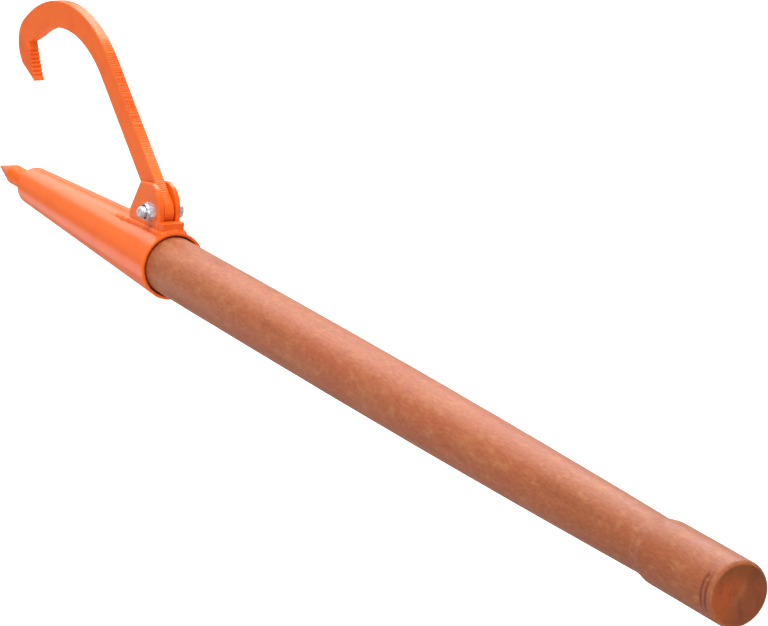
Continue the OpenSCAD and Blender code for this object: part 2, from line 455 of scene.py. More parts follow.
@dataclass(frozen=True)
class TurnedWood:
    """Turned hardwood with short pores along the grain and a thin clear coat."""

    name: str = "turned_hardwood"
    red: Colour = tone(164, 86, 53)
    tan: Colour = tone(168, 98, 60)
    pale: Colour = tone(193, 128, 90)
    dark: Colour = tone(100, 44, 26)
    grip: Colour = tone(144, 78, 44)
    end_left: Colour = tone(158, 74, 30)
    end_right: Colour = tone(132, 67, 34)
    end_top: Colour = tone(116, 62, 24)
    end_dark: Colour = tone(94, 42, 18)
    end_pale: Colour = tone(178, 118, 78)
    # Painted shade that darkens the turning grooves.
    mark: Colour = tone(112, 46, 26)
    roughness: float = 0.44
    shine: float = 0.26
    patch_scale: tuple[float, float, float] = (14.0, 30.0, 30.0)
    mottle_scale: tuple[float, float, float] = (70.0, 150.0, 150.0)
    streak_scale: tuple[float, float, float] = (7.0, 75.0, 75.0)
    fleck_scale: tuple[float, float, float] = (170.0, 620.0, 620.0)
    pore_scale: tuple[float, float, float] = (230.0, 1500.0, 1500.0)
    grain_depth: float = 0.07 * MM
    uneven_depth: float = 0.3 * MM
    grip_from: float = -0.42
    grip_to: float = -0.05
    groove_shade_share: float = 0.8
    ray_across: tuple[float, float] = (0.85, -0.52)
    ray_width: float = 3.6 * MM

    def make(self) -> bpy.types.Material:
        """Builds the material."""
        made, graph = material(self.name)
        place = graph.place()
        along, y, z = graph.parts(place)
        out, _, _ = graph.facing()
        end = graph.span(out, 0.86, 0.98)
        patches = graph.noise(graph.stretched(place, self.patch_scale), 1.0, 3.0, 0.55)
        mottle = graph.noise(graph.stretched(place, self.mottle_scale), 1.0, 3.0, 0.6)
        streaks = graph.noise(graph.stretched(place, self.streak_scale), 1.0, 3.0, 0.55)
        flecks = graph.noise(graph.stretched(place, self.fleck_scale), 1.0, 2.0, 0.6)
        pores = graph.noise(graph.stretched(place, self.pore_scale), 1.0, 1.0, 0.5)
        pore = graph.span(pores, 0.6, 0.72)
        tint = graph.blend(graph.span(patches * 0.5 + mottle * 0.5, 0.4, 0.64), self.red, self.tan)
        tint = graph.blend(graph.span(along, self.grip_from, self.grip_to) * 0.6, tint, self.grip)
        tint = graph.blend(graph.span(mottle, 0.52, 0.72) * 0.3, tint, self.pale)
        tint = graph.blend(graph.span(streaks, 0.52, 0.75) * 0.28, tint, self.dark)
        tint = graph.blend(graph.span(flecks, 0.5, 0.68) * 0.22, tint, self.dark)
        tint = graph.blend(graph.span(flecks, 0.5, 0.34) * 0.16, tint, self.pale)
        tint = graph.blend(pore * 0.16, tint, self.dark)
        # Painted shade in the turning grooves, strongest on the side where they are deepest.
        groove_shade: Signal | float = 0.0
        for mark in TURNING_MARKS:
            groove_shade = mark.groove_shade(graph, along, y, z) * mark.colour + groove_shade
        tint = graph.blend(groove_shade.math("MULTIPLY", self.groove_shade_share, clamp=True), tint, self.mark)
        colour = graph.blend(end, tint, self._end_grain(graph, place, y, z))
        fine = graph.bump(flecks * 0.5 + (1 - pore) * 0.5, self.grain_depth)
        rolling = graph.bump(mottle, self.uneven_depth, fine)
        graph.close(
            Base_Color=colour,
            Roughness=self.roughness + (mottle - 0.5) * 0.3 + end * 0.2,
            Specular_IOR_Level=self.shine,
            Normal=rolling,
        )
        return made

    def _end_grain(self, graph: Graph, place: bpy.types.NodeSocket, y: Signal,
                   z: Signal) -> bpy.types.NodeSocket:
        """Gives the end face's colour: red wood, grey wood and a soft pale ray between them."""
        wander = graph.noise(place, 60.0, 3.0) - 0.5
        across = y * self.ray_across[0] + z * self.ray_across[1] + wander * 6 * MM
        down = z * self.ray_across[0] - y * self.ray_across[1]
        tint = graph.blend(graph.span(across, -8 * MM, 9 * MM), self.end_left, self.end_right)
        top = graph.span(z + wander * 12 * MM, 4 * MM, 20 * MM)
        tint = graph.blend(top * 0.8, tint, self.end_top)
        rings = graph.noise(graph.stretched(place, (1.0, 110.0, 45.0)), 1.0, 3.0, 0.6)
        tint = graph.blend(graph.span(rings, 0.46, 0.74) * 0.45, tint, self.end_dark)
        cells = graph.noise(place, 420.0, 3.0)
        tint = graph.blend(graph.span(cells, 0.58, 0.72) * 0.5, tint, self.end_dark)
        near = 1 - graph.span(abs(across), self.ray_width * 0.1, self.ray_width)
        middle = 1 - graph.span(abs(down), 4 * MM, 15 * MM)
        return graph.blend(near * middle * 0.2, tint, self.end_pale)


@dataclass(frozen=True)
class GroundPoint:
    """A bar that is painted up to its ground, bare point."""

    name: str = "ground_point"
    steel: Colour = tone(226, 126, 90)
    dark: Colour = tone(168, 90, 64)
    paint: PowderCoat = PowderCoat()
    cone_at: float = -1.188
    tip_at: float = -1.219
    worn: float = 8 * MM
    grind_depth: float = 0.04 * MM
    metal: float = 0.05

    def make(self) -> bpy.types.Material:
        """Builds the material."""
        made, graph = material(self.name)
        place = graph.place()
        along, _, _ = graph.parts(place)
        wander = (graph.noise(place, 260.0, 2.0) - 0.5) * 3 * MM
        bare = 1 - graph.span(along + wander, self.cone_at - 1.2 * MM, self.cone_at)
        marks = graph.noise(graph.stretched(place, (1900.0, 160.0, 160.0)), 1.0, 2.0, 0.6)
        steel = graph.blend(graph.span(marks, 0.35, 0.7) * 0.5, self.steel, self.dark)
        near_tip = 1 - graph.span(along, self.tip_at + 1 * MM, self.tip_at + self.worn)
        steel = graph.blend(near_tip * 0.5, steel, self.dark)
        graph.close(
            Base_Color=graph.blend(bare, self.paint.body, steel),
            Metallic=bare * self.metal,
            Roughness=self.paint.roughness + bare * (marks * 0.25 + 0.12),
            Specular_IOR_Level=self.paint.shine,
            Normal=graph.bump(marks * bare, self.grind_depth),
        )
        return made


@dataclass(frozen=True)
class Plating:
    """Bright zinc plating."""

    name: str = "bright_zinc"
    bright: Colour = tone(218, 222, 230)
    dull: Colour = tone(170, 173, 180)
    metal: float = 0.6
    roughness: float = 0.24
    brush_depth: float = 0.01 * MM

    def make(self) -> bpy.types.Material:
        """Builds the material."""
        made, graph = material(self.name)
        place = graph.place()
        cloud = graph.noise(place, 500.0, 3.0)
        fine = graph.noise(place, 3200.0, 1.0)
        graph.close(
            Base_Color=graph.blend(graph.span(cloud, 0.35, 0.7), self.bright, self.dull),
            Metallic=self.metal,
            Roughness=self.roughness + (cloud - 0.5) * 0.2,
            Normal=graph.bump(fine, self.brush_depth),
        )
        return made


@dataclass(frozen=True)
class Nylon:
    """Dark nylon."""

    name: str = "dark_nylon"
    body: Colour = tone(22, 32, 52)
    pale: Colour = tone(38, 50, 72)
    roughness: float = 0.5
    shine: float = 0.15
    grain_depth: float = 0.02 * MM

    def make(self) -> bpy.types.Material:
        """Builds the material."""
        made, graph = material(self.name)
        cloud = graph.noise(graph.place(), 900.0, 2.0)
        graph.close(
            Base_Color=graph.blend(graph.span(cloud, 0.4, 0.7), self.body, self.pale),
            Roughness=self.roughness + (cloud - 0.5) * 0.2,
            Specular_IOR_Level=self.shine,
            Normal=graph.bump(cloud, self.grain_depth),
        )
        return made


def from_mesh(name: str, mesh: bpy.types.Mesh) -> bpy.types.Object:
    """Adds an object at the origin.

    Args:
        name: Its name.
        mesh: Its mesh, with its place in it.

    Returns:
        The object.
    """
    made = bpy.data.objects.new(name, mesh)
    bpy.context.scene.collection.objects.link(made)
    return made


def baked(work: bpy.types.Object, name: str) -> bpy.types.Object:
    """Turns an object with modifiers into a plain mesh.

    Args:
        work: The object, which is removed.
        name: The new object's name.

    Returns:
        The plain object.
    """
    bpy.context.view_layer.update()
    graph = bpy.context.evaluated_depsgraph_get()
    mesh = bpy.data.meshes.new_from_object(work.evaluated_get(graph))
    mesh.name = name
    bpy.data.objects.remove(work)
    return from_mesh(name, mesh)


def modified(work: bpy.types.Object, kind: str, **settings: object) -> bpy.types.Modifier:
    """Adds a modifier.

    Args:
        work: The object.
        kind: The modifier's type.
        settings: Its settings.

    Returns:
        The modifier.
    """
    layer = work.modifiers.new(kind.lower(), kind)
    for name, value in settings.items():
        setattr(layer, name, value)
    return layer


def merged(node: bpy.types.Object) -> bmesh.types.BMesh:
    """Copies a solid's loose triangles and joins them.

    Args:
        node: The solid, which stays as it is.

    Returns:
        The copy.
    """
    shell = bmesh.new()
    shell.from_mesh(node.data)
    bmesh.ops.remove_doubles(shell, verts=shell.verts, dist=MERGE)
    return shell


def softened(node: bpy.types.Object, name: str, width: float) -> bpy.types.Object:
    """Copies a solid and rounds its sharp edges as a coat of paint does.

    Args:
        node: The solid, which stays as it is.
        name: The copy's name.
        width: How far the rounding reaches from an edge.

    Returns:
        The copy.
    """
    shell = merged(node)
    bmesh.ops.dissolve_limit(shell, angle_limit=math.radians(0.4), verts=shell.verts, edges=shell.edges)
    mesh = bpy.data.meshes.new(name)
    shell.to_mesh(mesh)
    shell.free()
    mesh.shade_smooth()
    work = from_mesh(name + "_work", mesh)
    modified(work, "BEVEL", width=width, segments=4, limit_method="ANGLE",
             angle_limit=math.radians(30), use_clamp_overlap=True)
    modified(work, "WEIGHTED_NORMAL", keep_sharp=True)
    return baked(work, name)


def smooth_run(points: Sequence[Vector], closed: bool, step: float, corner: float = math.radians(20),
               straight: float = 10 * MM) -> list[Vector]:
    """Draws a polygon again in short steps, and makes its arcs round.

    Args:
        points: The polygon's corners.
        closed: True if the last one joins the first.
        step: Length of a step.
        corner: Turn from which a corner stays sharp.
        straight: Length from which a side is straight.

    Returns:
        Points along the smooth line.
    """
    count = len(points)
    spans = count if closed else count - 1
    chords = [points[(i + 1) % count] - points[i] for i in range(spans)]
    ways = [chord.normalized() for chord in chords]
    sizes = [chord.length for chord in chords]

    def sharp(i: int) -> bool:
        """Tells whether a point is a sharp corner."""
        return (not closed and i in (0, count - 1)) or ways[i - 1].angle(ways[i % spans]) > corner

    def tangent(i: int) -> Vector:
        """Gives the way through a smooth point."""
        before, after = sizes[i - 1], sizes[i % spans]
        if max(before, after) > straight:
            return ways[i - 1] if before > after else ways[i % spans]
        return (ways[i - 1] * after + ways[i % spans] * before).normalized()

    made: list[Vector] = []
    for i in range(spans):
        j = (i + 1) % count
        way, size = ways[i], sizes[i]
        first, last = way, way
        if size <= straight and not (sharp(i) and sharp(j)):
            first = way if sharp(i) else tangent(i)
            last = way if sharp(j) else tangent(j)
            if sharp(i):
                first = 2 * last.dot(way) * way - last
            if sharp(j):
                last = 2 * first.dot(way) * way - first
        parts = max(1, math.ceil(size / step))
        third = size / 3
        run = interpolate_bezier(points[i], points[i] + first * third, points[j] - last * third,
                                 points[j], parts + 1)
        made.extend(point.copy() for point in run[:-1])
    if not closed:
        made.append(points[-1].copy())
    return made


def turned(name: str, profile: Sequence[tuple[float, float]], sides: int, loop: bool = False,
           shape: Shape | None = None, start: float = 0.0) -> bpy.types.Object:
    """Spins a profile about X.

    Args:
        name: The piece's name.
        profile: Stations along X with their radii. A radius of nought closes the form.
        sides: Number of sides round the axis.
        loop: True if the last station joins the first, as on a ring.
        shape: Gives the true station and radius from a station, a radius and an angle.
        start: Angle of the first side's edge.

    Returns:
        The piece, with sharp edges where its surface turns by more than 35 degrees.
    """
    verts: list[tuple[float, float, float]] = []
    rings: list[list[int]] = []
    for x, radius in profile:
        count = 1 if radius < MERGE else sides
        rings.append(list(range(len(verts), len(verts) + count)))
        for k in range(count):
            angle = start + math.tau * k / sides
            at, far = shape(x, radius, angle) if shape else (x, radius)
            verts.append((at, -far * math.sin(angle), far * math.cos(angle)))
    faces: list[tuple[int, ...]] = []
    pairs = list(zip(rings, rings[1:])) + ([(rings[-1], rings[0])] if loop else [])
    for one, two in pairs:
        for k in range(sides):
            nxt = (k + 1) % sides
            if len(one) == 1:
                faces.append((one[0], two[k], two[nxt]))
            elif len(two) == 1:
                faces.append((one[k], two[0], one[nxt]))
            else:
                faces.append((one[k], two[k], two[nxt], one[nxt]))
    return closed_shell(name, verts, faces)


def closed_shell(name: str, verts: Sequence[Sequence[float]], faces: Sequence[Sequence[int]]) -> bpy.types.Object:
    """Makes a closed piece whose faces point outwards.

    Args:
        name: The piece's name.
        verts: Its points.
        faces: Its faces.

    Returns:
        The piece.
    """
    mesh = bpy.data.meshes.new(name)
    mesh.from_pydata(verts, [], faces)
    shell = bmesh.new()
    shell.from_mesh(mesh)
    bmesh.ops.recalc_face_normals(shell, faces=shell.faces)
    if shell.calc_volume(signed=True) < 0:
        bmesh.ops.reverse_faces(shell, faces=shell.faces)
    shell.to_mesh(mesh)
    shell.free()
    mesh.shade_smooth()
    mesh.set_sharp_from_angle(angle=math.radians(35))
    return from_mesh(name, mesh)


def dress(piece: bpy.types.Object, finish: bpy.types.Material) -> None:
    """Gives a piece one material all over."""
    piece.data.materials.clear()
    piece.data.materials.append(finish)


def stand_for(piece: bpy.types.Object, body: Body, slot: Slot, *nodes: str) -> None:
    """Lets a piece take the place of solids.

    Args:
        piece: The piece.
        body: The body that it moves with.
        slot: The record's slot. It is not used.
        nodes: The solids that it stands for.
    """
    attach(piece, body.value)
    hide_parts(*nodes)
    LOG.info("%s stands for %s", piece.name, ", ".join(nodes))


class MeshTree:
    """A node tree that makes or changes a mesh, with named inputs."""

    label = "mesh_tree"
    inputs: dict[str, str] = {}

    def __init__(self) -> None:
        """Builds the tree and keeps the identifiers of its inputs."""
        self.tree = bpy.data.node_groups.new(self.label, "GeometryNodeTree")
        self.graph = Graph(self.tree)
        face = self.tree.interface
        face.new_socket("Start", in_out="INPUT", socket_type="NodeSocketGeometry")
        kinds = {**self.inputs, "Finish": "NodeSocketMaterial"}
        self.ids = {
            name: face.new_socket(name, in_out="INPUT", socket_type=kind).identifier
            for name, kind in kinds.items()
        }
        face.new_socket("Made", in_out="OUTPUT", socket_type="NodeSocketGeometry")
        given = self.graph.add("NodeGroupInput").outputs
        real = self.graph.add("GeometryNodeRealizeInstances", inputs={0: self.shape(given)})
        dressed = self.graph.add(
            "GeometryNodeSetMaterial", inputs={"Geometry": real.outputs[0], "Material": given["Finish"]}
        )
        self.graph.add("NodeGroupOutput", inputs={0: dressed.outputs[0]})

    def shape(self, given: bpy.types.bpy_prop_collection) -> bpy.types.NodeSocket:
        """Adds the nodes that make the shape.

        Args:
            given: The group's inputs.

        Returns:
            The geometry.
        """
        return given["Start"]

    def number(self, given: bpy.types.bpy_prop_collection, name: str) -> Signal:
        """Gives one of the group's inputs as a number to calculate with."""
        return Signal(self.graph, given[name])

    def stored(self, name: str, kind: str = "FLOAT") -> bpy.types.NodeSocket:
        """Reads a value that the mesh carries at each point."""
        node = self.graph.add("GeometryNodeInputNamedAttribute", {"data_type": kind}, {"Name": name})
        return self.graph.pick(node.outputs, "Attribute")

    def laid(self, work: bpy.types.Object, finish: bpy.types.Material, **sizes: float) -> bpy.types.Object:
        """Puts the tree on an object.

        Args:
            work: The object.
            finish: Its material.
            sizes: The tree's inputs by name.

        Returns:
            The same object, with its modifier.
        """
        layer = modified(work, "NODES", node_group=self.tree)
        for name, value in sizes.items():
            layer[self.ids[name]] = value
        layer[self.ids["Finish"]] = finish
        return work


@dataclass(frozen=True)
class BeadPoint:
    """A point on the middle of a weld bead, and the bead's girth there."""

    place: Vector
    girth: float = 1.0


class BeadTree(MeshTree):
    """Lays overlapping drops of weld metal along a path."""

    label = "weld_bead"
    inputs = {
        "Pitch": "NodeSocketFloat",
        "Radius": "NodeSocketFloat",
        "Length": "NodeSocketFloat",
        "Spread": "NodeSocketFloat",
        "Drift": "NodeSocketFloat",
        "Seed": "NodeSocketInt",
    }

    def shape(self, given: bpy.types.bpy_prop_collection) -> bpy.types.NodeSocket:
        """Adds the drops."""
        graph = self.graph
        curve = graph.add("GeometryNodeMeshToCurve", inputs={"Mesh": given["Start"]})
        points = graph.add(
            "GeometryNodeCurveToPoints",
            {"mode": "LENGTH"},
            {"Curve": curve.outputs[0], "Length": given["Pitch"]},
        )
        turn = graph.add(
            "FunctionNodeAlignRotationToVector", {"axis": "Z"}, {"Vector": points.outputs["Tangent"]}
        )
        spread = self.number(given, "Spread")
        size = graph.add(
            "FunctionNodeRandomValue",
            {"data_type": "FLOAT"},
            {"Min": 1 - spread, "Max": 1 + spread, "Seed": given["Seed"]},
        )
        drift = graph.add(
            "FunctionNodeRandomValue",
            {"data_type": "FLOAT_VECTOR"},
            {"Min": (-1.0, -1.0, -1.0), "Max": (1.0, 1.0, 1.0), "Seed": given["Seed"]},
        )
        moved = graph.add(
            "GeometryNodeSetPosition",
            inputs={
                "Geometry": points.outputs[0],
                "Offset": graph.scaled(graph.pick(drift.outputs, "Value"), given["Drift"]),
            },
        )
        girth = Signal(graph, self.stored("girth")) * Signal(graph, graph.pick(size.outputs, "Value"))
        wide = girth * self.number(given, "Radius")
        drop = graph.add("GeometryNodeMeshIcoSphere", inputs={"Radius": 1.0, "Subdivisions": 3})
        drops = graph.add(
            "GeometryNodeInstanceOnPoints",
            inputs={
                "Points": moved.outputs[0],
                "Instance": drop.outputs[0],
                "Rotation": turn.outputs[0],
                "Scale": graph.vector(wide, wide, girth * self.number(given, "Length")),
            },
        )
        return drops.outputs[0]

    def lay(self, name: str, runs: Sequence[Sequence[BeadPoint]], finish: bpy.types.Material,
            voxel: float, closed: bool = False, smoothing: int = 3, **sizes: float) -> bpy.types.Object:
        """Lays one bead and melts its drops together.

        Args:
            name: The piece's name.
            runs: The paths that the bead follows.
            finish: Its material.
            voxel: Fineness of the melted surface.
            closed: True if each path is a ring.
            smoothing: How many times the melted surface is smoothed.
            sizes: The tree's inputs by name.

        Returns:
            The bead as a plain mesh.
        """
        mesh = bpy.data.meshes.new(name + "_path")
        points = [point for run in runs for point in run]
        edges: list[tuple[int, int]] = []
        start = 0
        for run in runs:
            edges.extend((start + i, start + i + 1) for i in range(len(run) - 1))
            if closed:
                edges.append((start + len(run) - 1, start))
            start += len(run)
        mesh.from_pydata([point.place for point in points], edges, [])
        girth = mesh.attributes.new("girth", "FLOAT", "POINT")
        girth.data.foreach_set("value", [point.girth for point in points])
        work = self.laid(from_mesh(name + "_work", mesh), finish, **sizes)
        modified(work, "REMESH", mode="VOXEL", voxel_size=voxel, use_smooth_shade=True)
        modified(work, "SMOOTH", factor=0.5, iterations=smoothing)
        bead = baked(work, name)
        dress(bead, finish)
        return bead


class CutTree(MeshTree):
    """Sinks the wavy lines that a cutting torch leaves into a plate's edge."""

    label = "torch_cut"
    inputs = {
        "Pitch": "NodeSocketFloat",
        "Depth": "NodeSocketFloat",
        "Lean": "NodeSocketFloat",
    }

    def shape(self, given: bpy.types.bpy_prop_collection) -> bpy.types.NodeSocket:
        """Moves the edge's points in along their normals."""
        graph = self.graph
        along, across, _ = graph.parts(self.stored("cut_place", "FLOAT_VECTOR"))
        pitch = self.number(given, "Pitch")
        slant = across * self.number(given, "Lean")
        turns = (along + slant * slant / pitch) / pitch
        wander = graph.noise(graph.vector(turns * 0.45, across / pitch * 0.12, 0.0), 1.0, 1.0)
        line = graph.span(((turns + wander * 1.6) * math.tau).math("SINE"), -0.7, 0.8) * (wander + 0.4)
        sink = line * Signal(graph, self.stored("cut")) * self.number(given, "Depth")
        normal = graph.add("GeometryNodeInputNormal").outputs[0]
        moved = graph.add(
            "GeometryNodeSetPosition",
            inputs={"Geometry": given["Start"], "Offset": graph.scaled(normal, -sink)},
        )
        return moved.outputs[0]


class ThreadTree(MeshTree):
    """Cuts a screw thread into the end of a round bar that lies along X."""

    label = "screw_thread"
    inputs = {
        "Pitch": "NodeSocketFloat",
        "Depth": "NodeSocketFloat",
        "From": "NodeSocketFloat",
        "Run_in": "NodeSocketFloat",
    }

    def shape(self, given: bpy.types.bpy_prop_collection) -> bpy.types.NodeSocket:
        """Moves the bar's points in towards its axis, turn by turn."""
        graph = self.graph
        along, y, z = graph.parts(graph.add("GeometryNodeInputPosition").outputs[0])
        turn = y.math("ARCTAN2", z) / math.tau
        phase = (along / self.number(given, "Pitch") + turn).math("FRACT")
        groove = 1 - abs(phase - 0.5) * 2
        start = self.number(given, "From")
        cut = ((along - start) / self.number(given, "Run_in")).math("MULTIPLY", 1.0, clamp=True)
        share = groove * cut * self.number(given, "Depth") / ((y * y + z * z) ** 0.5 + MERGE)
        moved = graph.add(
            "GeometryNodeSetPosition",
            inputs={"Geometry": given["Start"], "Offset": graph.vector(0.0, -(y * share), -(z * share))},
        )
        return moved.outputs[0]


@dataclass(frozen=True)
class SocketCone:
    """The outer surface of the socket."""

    mouth_at: float = -874 * MM
    mouth_r: float = 29.2 * MM
    shoulder_at: float = -1145 * MM
    shoulder_r: float = 17 * MM

    def slope(self) -> float:
        """Gives how fast the radius grows towards the mouth."""
        return (self.mouth_r - self.shoulder_r) / (self.mouth_at - self.shoulder_at)

    def radius(self, x: float) -> float:
        """Gives the radius at a station."""
        return self.mouth_r + self.slope() * (x - self.mouth_at)

    def height(self, x: float, y: float) -> float:
        """Gives the height of the surface at a station and a distance from the middle."""
        return math.sqrt(self.radius(x) ** 2 - y ** 2)


@dataclass
class Handle:
    """The turned handle."""

    wood: bpy.types.Material
    sides: int = 112
    fine: float = 0.3 * MM
    middling: float = 0.5 * MM
    coarse: float = 3 * MM
    end_marks: float = -16 * MM
    swell_from: float = -112 * MM
    swell_to: float = -88 * MM
    longest_taper: float = 80 * MM
    face_ring: float = 1 * MM
    wobble: float = 0.16 * MM
    saw_depth: float = 0.14 * MM

    def build(self) -> None:
        """Turns the handle to the solid's own outline."""
        low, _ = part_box("handle")
        run = smooth_run(self.outline(), False, self.fine, straight=self.longest_taper)
        profile = [(low[0], 0.0)]
        last = run[0]
        for point in run:
            if point is run[0] or point is run[-1] or (point - last).length >= self.grade(point.x):
                profile.append((point.x, point.y))
                last = point
        radius = profile[-1][1] - self.face_ring
        while radius > self.face_ring:
            profile.append((0.0, radius))
            radius -= self.face_ring
        profile.append((0.0, 0.0))
        stick = turned("turned_handle", profile, self.sides, shape=self.worked)
        dress(stick, self.wood)
        stand_for(stick, Body.POLE, Slot.WOOD, "handle")

    def outline(self) -> list[Vector]:
        """Reads the solid's rings as stations with their radii, from the tenon on."""
        rings: dict[float, float] = {}
        for vert in frame["nodes"]["handle"].data.vertices:
            x = round(vert.co.x, 6)
            rings[x] = max(rings.get(x, 0.0), math.hypot(vert.co.y, vert.co.z))
        return [Vector((x, rings[x])) for x in sorted(rings)]

    def grade(self, x: float) -> float:
        """Gives the distance between rings at a station."""
        if x > self.end_marks:
            return self.fine
        return self.middling if self.swell_from < x < self.swell_to else self.coarse

    def worked(self, x: float, radius: float, angle: float) -> tuple[float, float]:
        """Adds what the lathe, the saw and the sandpaper left."""
        y, z = -radius * math.sin(angle), radius * math.cos(angle)
        if x >= 0:
            return self.sawn(y, z), radius
        uneven = 0.5 + 0.5 * noise.noise(Vector((x * 26, y * 48, z * 48)))
        sink = self.wobble * uneven + sum(mark.at(x, angle) for mark in TURNING_MARKS)
        return x, max(radius - sink, 0.0)

    def sawn(self, y: float, z: float) -> float:
        """Gives the height of the sawn end face, which is never above its plane."""
        return -self.saw_depth * (0.5 + 0.5 * noise.noise(Vector((0.0, y * 160, z * 160))))


@dataclass
class SteelSocket:
    """The painted socket with its seam, its nose and its point."""

    paint: bpy.types.Material
    point: bpy.types.Material
    beads: BeadTree
    cone: SocketCone
    sides: int = 128
    wall: float = 2.8 * MM
    rim_round: float = 0.7 * MM
    nose_at: float = -1151 * MM
    nose_face_r: float = 11.3 * MM
    bore_end: float = -1117 * MM
    spike_bore_r: float = 8.8 * MM
    spike_r: float = 8.75 * MM
    spike_end: float = -1114 * MM
    cone_at: float = -1188 * MM
    tip_at: float = -1219 * MM
    tip_r: float = 0.6 * MM
    ring_step: float = 4 * MM
    dent: float = 0.1 * MM
    curve_steps: int = 8
    seam_rise: float = 0.9 * MM
    seam_r: float = 3 * MM
    seam_voxel: float = 0.42 * MM
    nose_bead_r: float = 1.8 * MM
    voxel: float = 0.3 * MM

    def build(self) -> None:
        """Builds the tube, the bar and the two beads."""
        tube = turned("socket_tube", self.tube_profile(), self.sides, loop=True, shape=self.rolled)
        dress(tube, self.paint)
        stand_for(tube, Body.POLE, Slot.PAINT, "socket")
        bar = turned("ground_spike", self.spike_profile(), self.sides, shape=self.ground)
        dress(bar, self.point)
        stand_for(bar, Body.POLE, Slot.POINT, "spike")
        self.lay_seam()
        self.lay_nose()

    def tube_profile(self) -> list[tuple[float, float]]:
        """Draws the wall, from the mouth's outer edge round to its inner edge."""
        cone, edge, steps = self.cone, self.rim_round, self.curve_steps
        quarter = [k * math.pi / 2 / steps for k in range(steps + 1)]
        rim = [
            (cone.mouth_at - edge * (1 - math.sin(a)), cone.mouth_r - edge * (1 - math.cos(a)))
            for a in reversed(quarter)
        ]
        count = round((cone.mouth_at - cone.shoulder_at) / self.ring_step)
        wall = [
            (x, cone.radius(x))
            for x in (cone.mouth_at + (cone.shoulder_at - cone.mouth_at) * k / count for k in range(1, count))
        ]
        nose = [
            (
                cone.shoulder_at - (cone.shoulder_at - self.nose_at) * math.sin(a),
                self.nose_face_r + (cone.shoulder_r - self.nose_face_r) * math.cos(a),
            )
            for a in quarter
        ]
        bore = [
            (self.nose_at, self.spike_bore_r),
            (self.bore_end, self.spike_bore_r),
            (self.bore_end, cone.radius(self.bore_end) - self.wall),
            (cone.mouth_at - edge, cone.radius(cone.mouth_at - edge) - self.wall),
            (cone.mouth_at, cone.mouth_r - self.wall + edge),
        ]
        return rim + wall + nose + bore

    def spike_profile(self) -> list[tuple[float, float]]:
        """Draws the round bar and its ground point."""
        step = self.ring_step / 4
        count = round((self.cone_at - self.tip_at) / step)
        fall = (self.spike_r - self.tip_r) / count
        point = [(self.cone_at - step * k, self.spike_r - fall * k) for k in range(1, count)]
        return [
            (self.spike_end, 0.0),
            (self.spike_end, self.spike_r),
            (self.cone_at + step, self.spike_r),
            (self.cone_at, self.spike_r - fall * 0.15),
            *point,
            (self.tip_at + self.tip_r * 0.4, self.tip_r),
            (self.tip_at, self.tip_r * 0.6),
            (self.tip_at, 0.0),
        ]

    def rolled(self, x: float, radius: float, angle: float) -> tuple[float, float]:
        """Adds the shallow dents of a rolled plate."""
        y, z = -radius * math.sin(angle), radius * math.cos(angle)
        if x <= self.cone.shoulder_at or x >= self.cone.mouth_at - self.rim_round:
            return x, radius
        uneven = 0.5 + 0.5 * noise.noise(Vector((x * 40, y * 55, z * 55)))
        return x, radius - self.dent * uneven

    def ground(self, x: float, radius: float, angle: float) -> tuple[float, float]:
        """Adds the uneven bands of the grinding wheel to the point."""
        if x >= self.cone_at or x <= self.tip_at + self.tip_r:
            return x, radius
        uneven = 0.5 + 0.5 * noise.noise(Vector((x * 420, math.sin(angle) * 1.6, math.cos(angle) * 1.6)))
        return x, radius - self.dent * 2 * uneven

    def lay_seam(self) -> None:
        """Lays the bead along the seam."""
        low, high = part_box("seam_weld")
        rise = self.seam_rise - self.seam_r
        ends = 12 * MM
        stations = (low[0] + self.seam_r, low[0] + ends, high[0] - ends, high[0] - self.seam_r)
        run = [
            BeadPoint(Vector((x, 0, self.cone.radius(x) + rise)), girth)
            for x, girth in zip(stations, (0.86, 1.0, 1.0, 0.92))
        ]
        bead = self.beads.lay(
            "seam_bead", [run], self.paint, self.seam_voxel,
            Pitch=2.3 * MM, Radius=self.seam_r, Length=2.5 * MM, Spread=0.04, Drift=0.12 * MM, Seed=3,
        )
        stand_for(bead, Body.POLE, Slot.PAINT, "seam_weld")

    def lay_nose(self) -> None:
        """Lays the bead between the nose's face and the bar."""
        around = 0.5 * (self.spike_r + self.nose_face_r) - 0.6 * MM
        count = 36
        run = [
            BeadPoint(Vector((self.nose_at, around * math.sin(a), around * math.cos(a))))
            for a in (math.tau * k / count for k in range(count))
        ]
        bead = self.beads.lay(
            "nose_bead", [run], self.paint, self.voxel, closed=True,
            Pitch=1.9 * MM, Radius=self.nose_bead_r, Length=self.nose_bead_r, Spread=0.08,
            Drift=0.12 * MM, Seed=8,
        )
        stand_for(bead, Body.POLE, Slot.PAINT, "spike_weld")


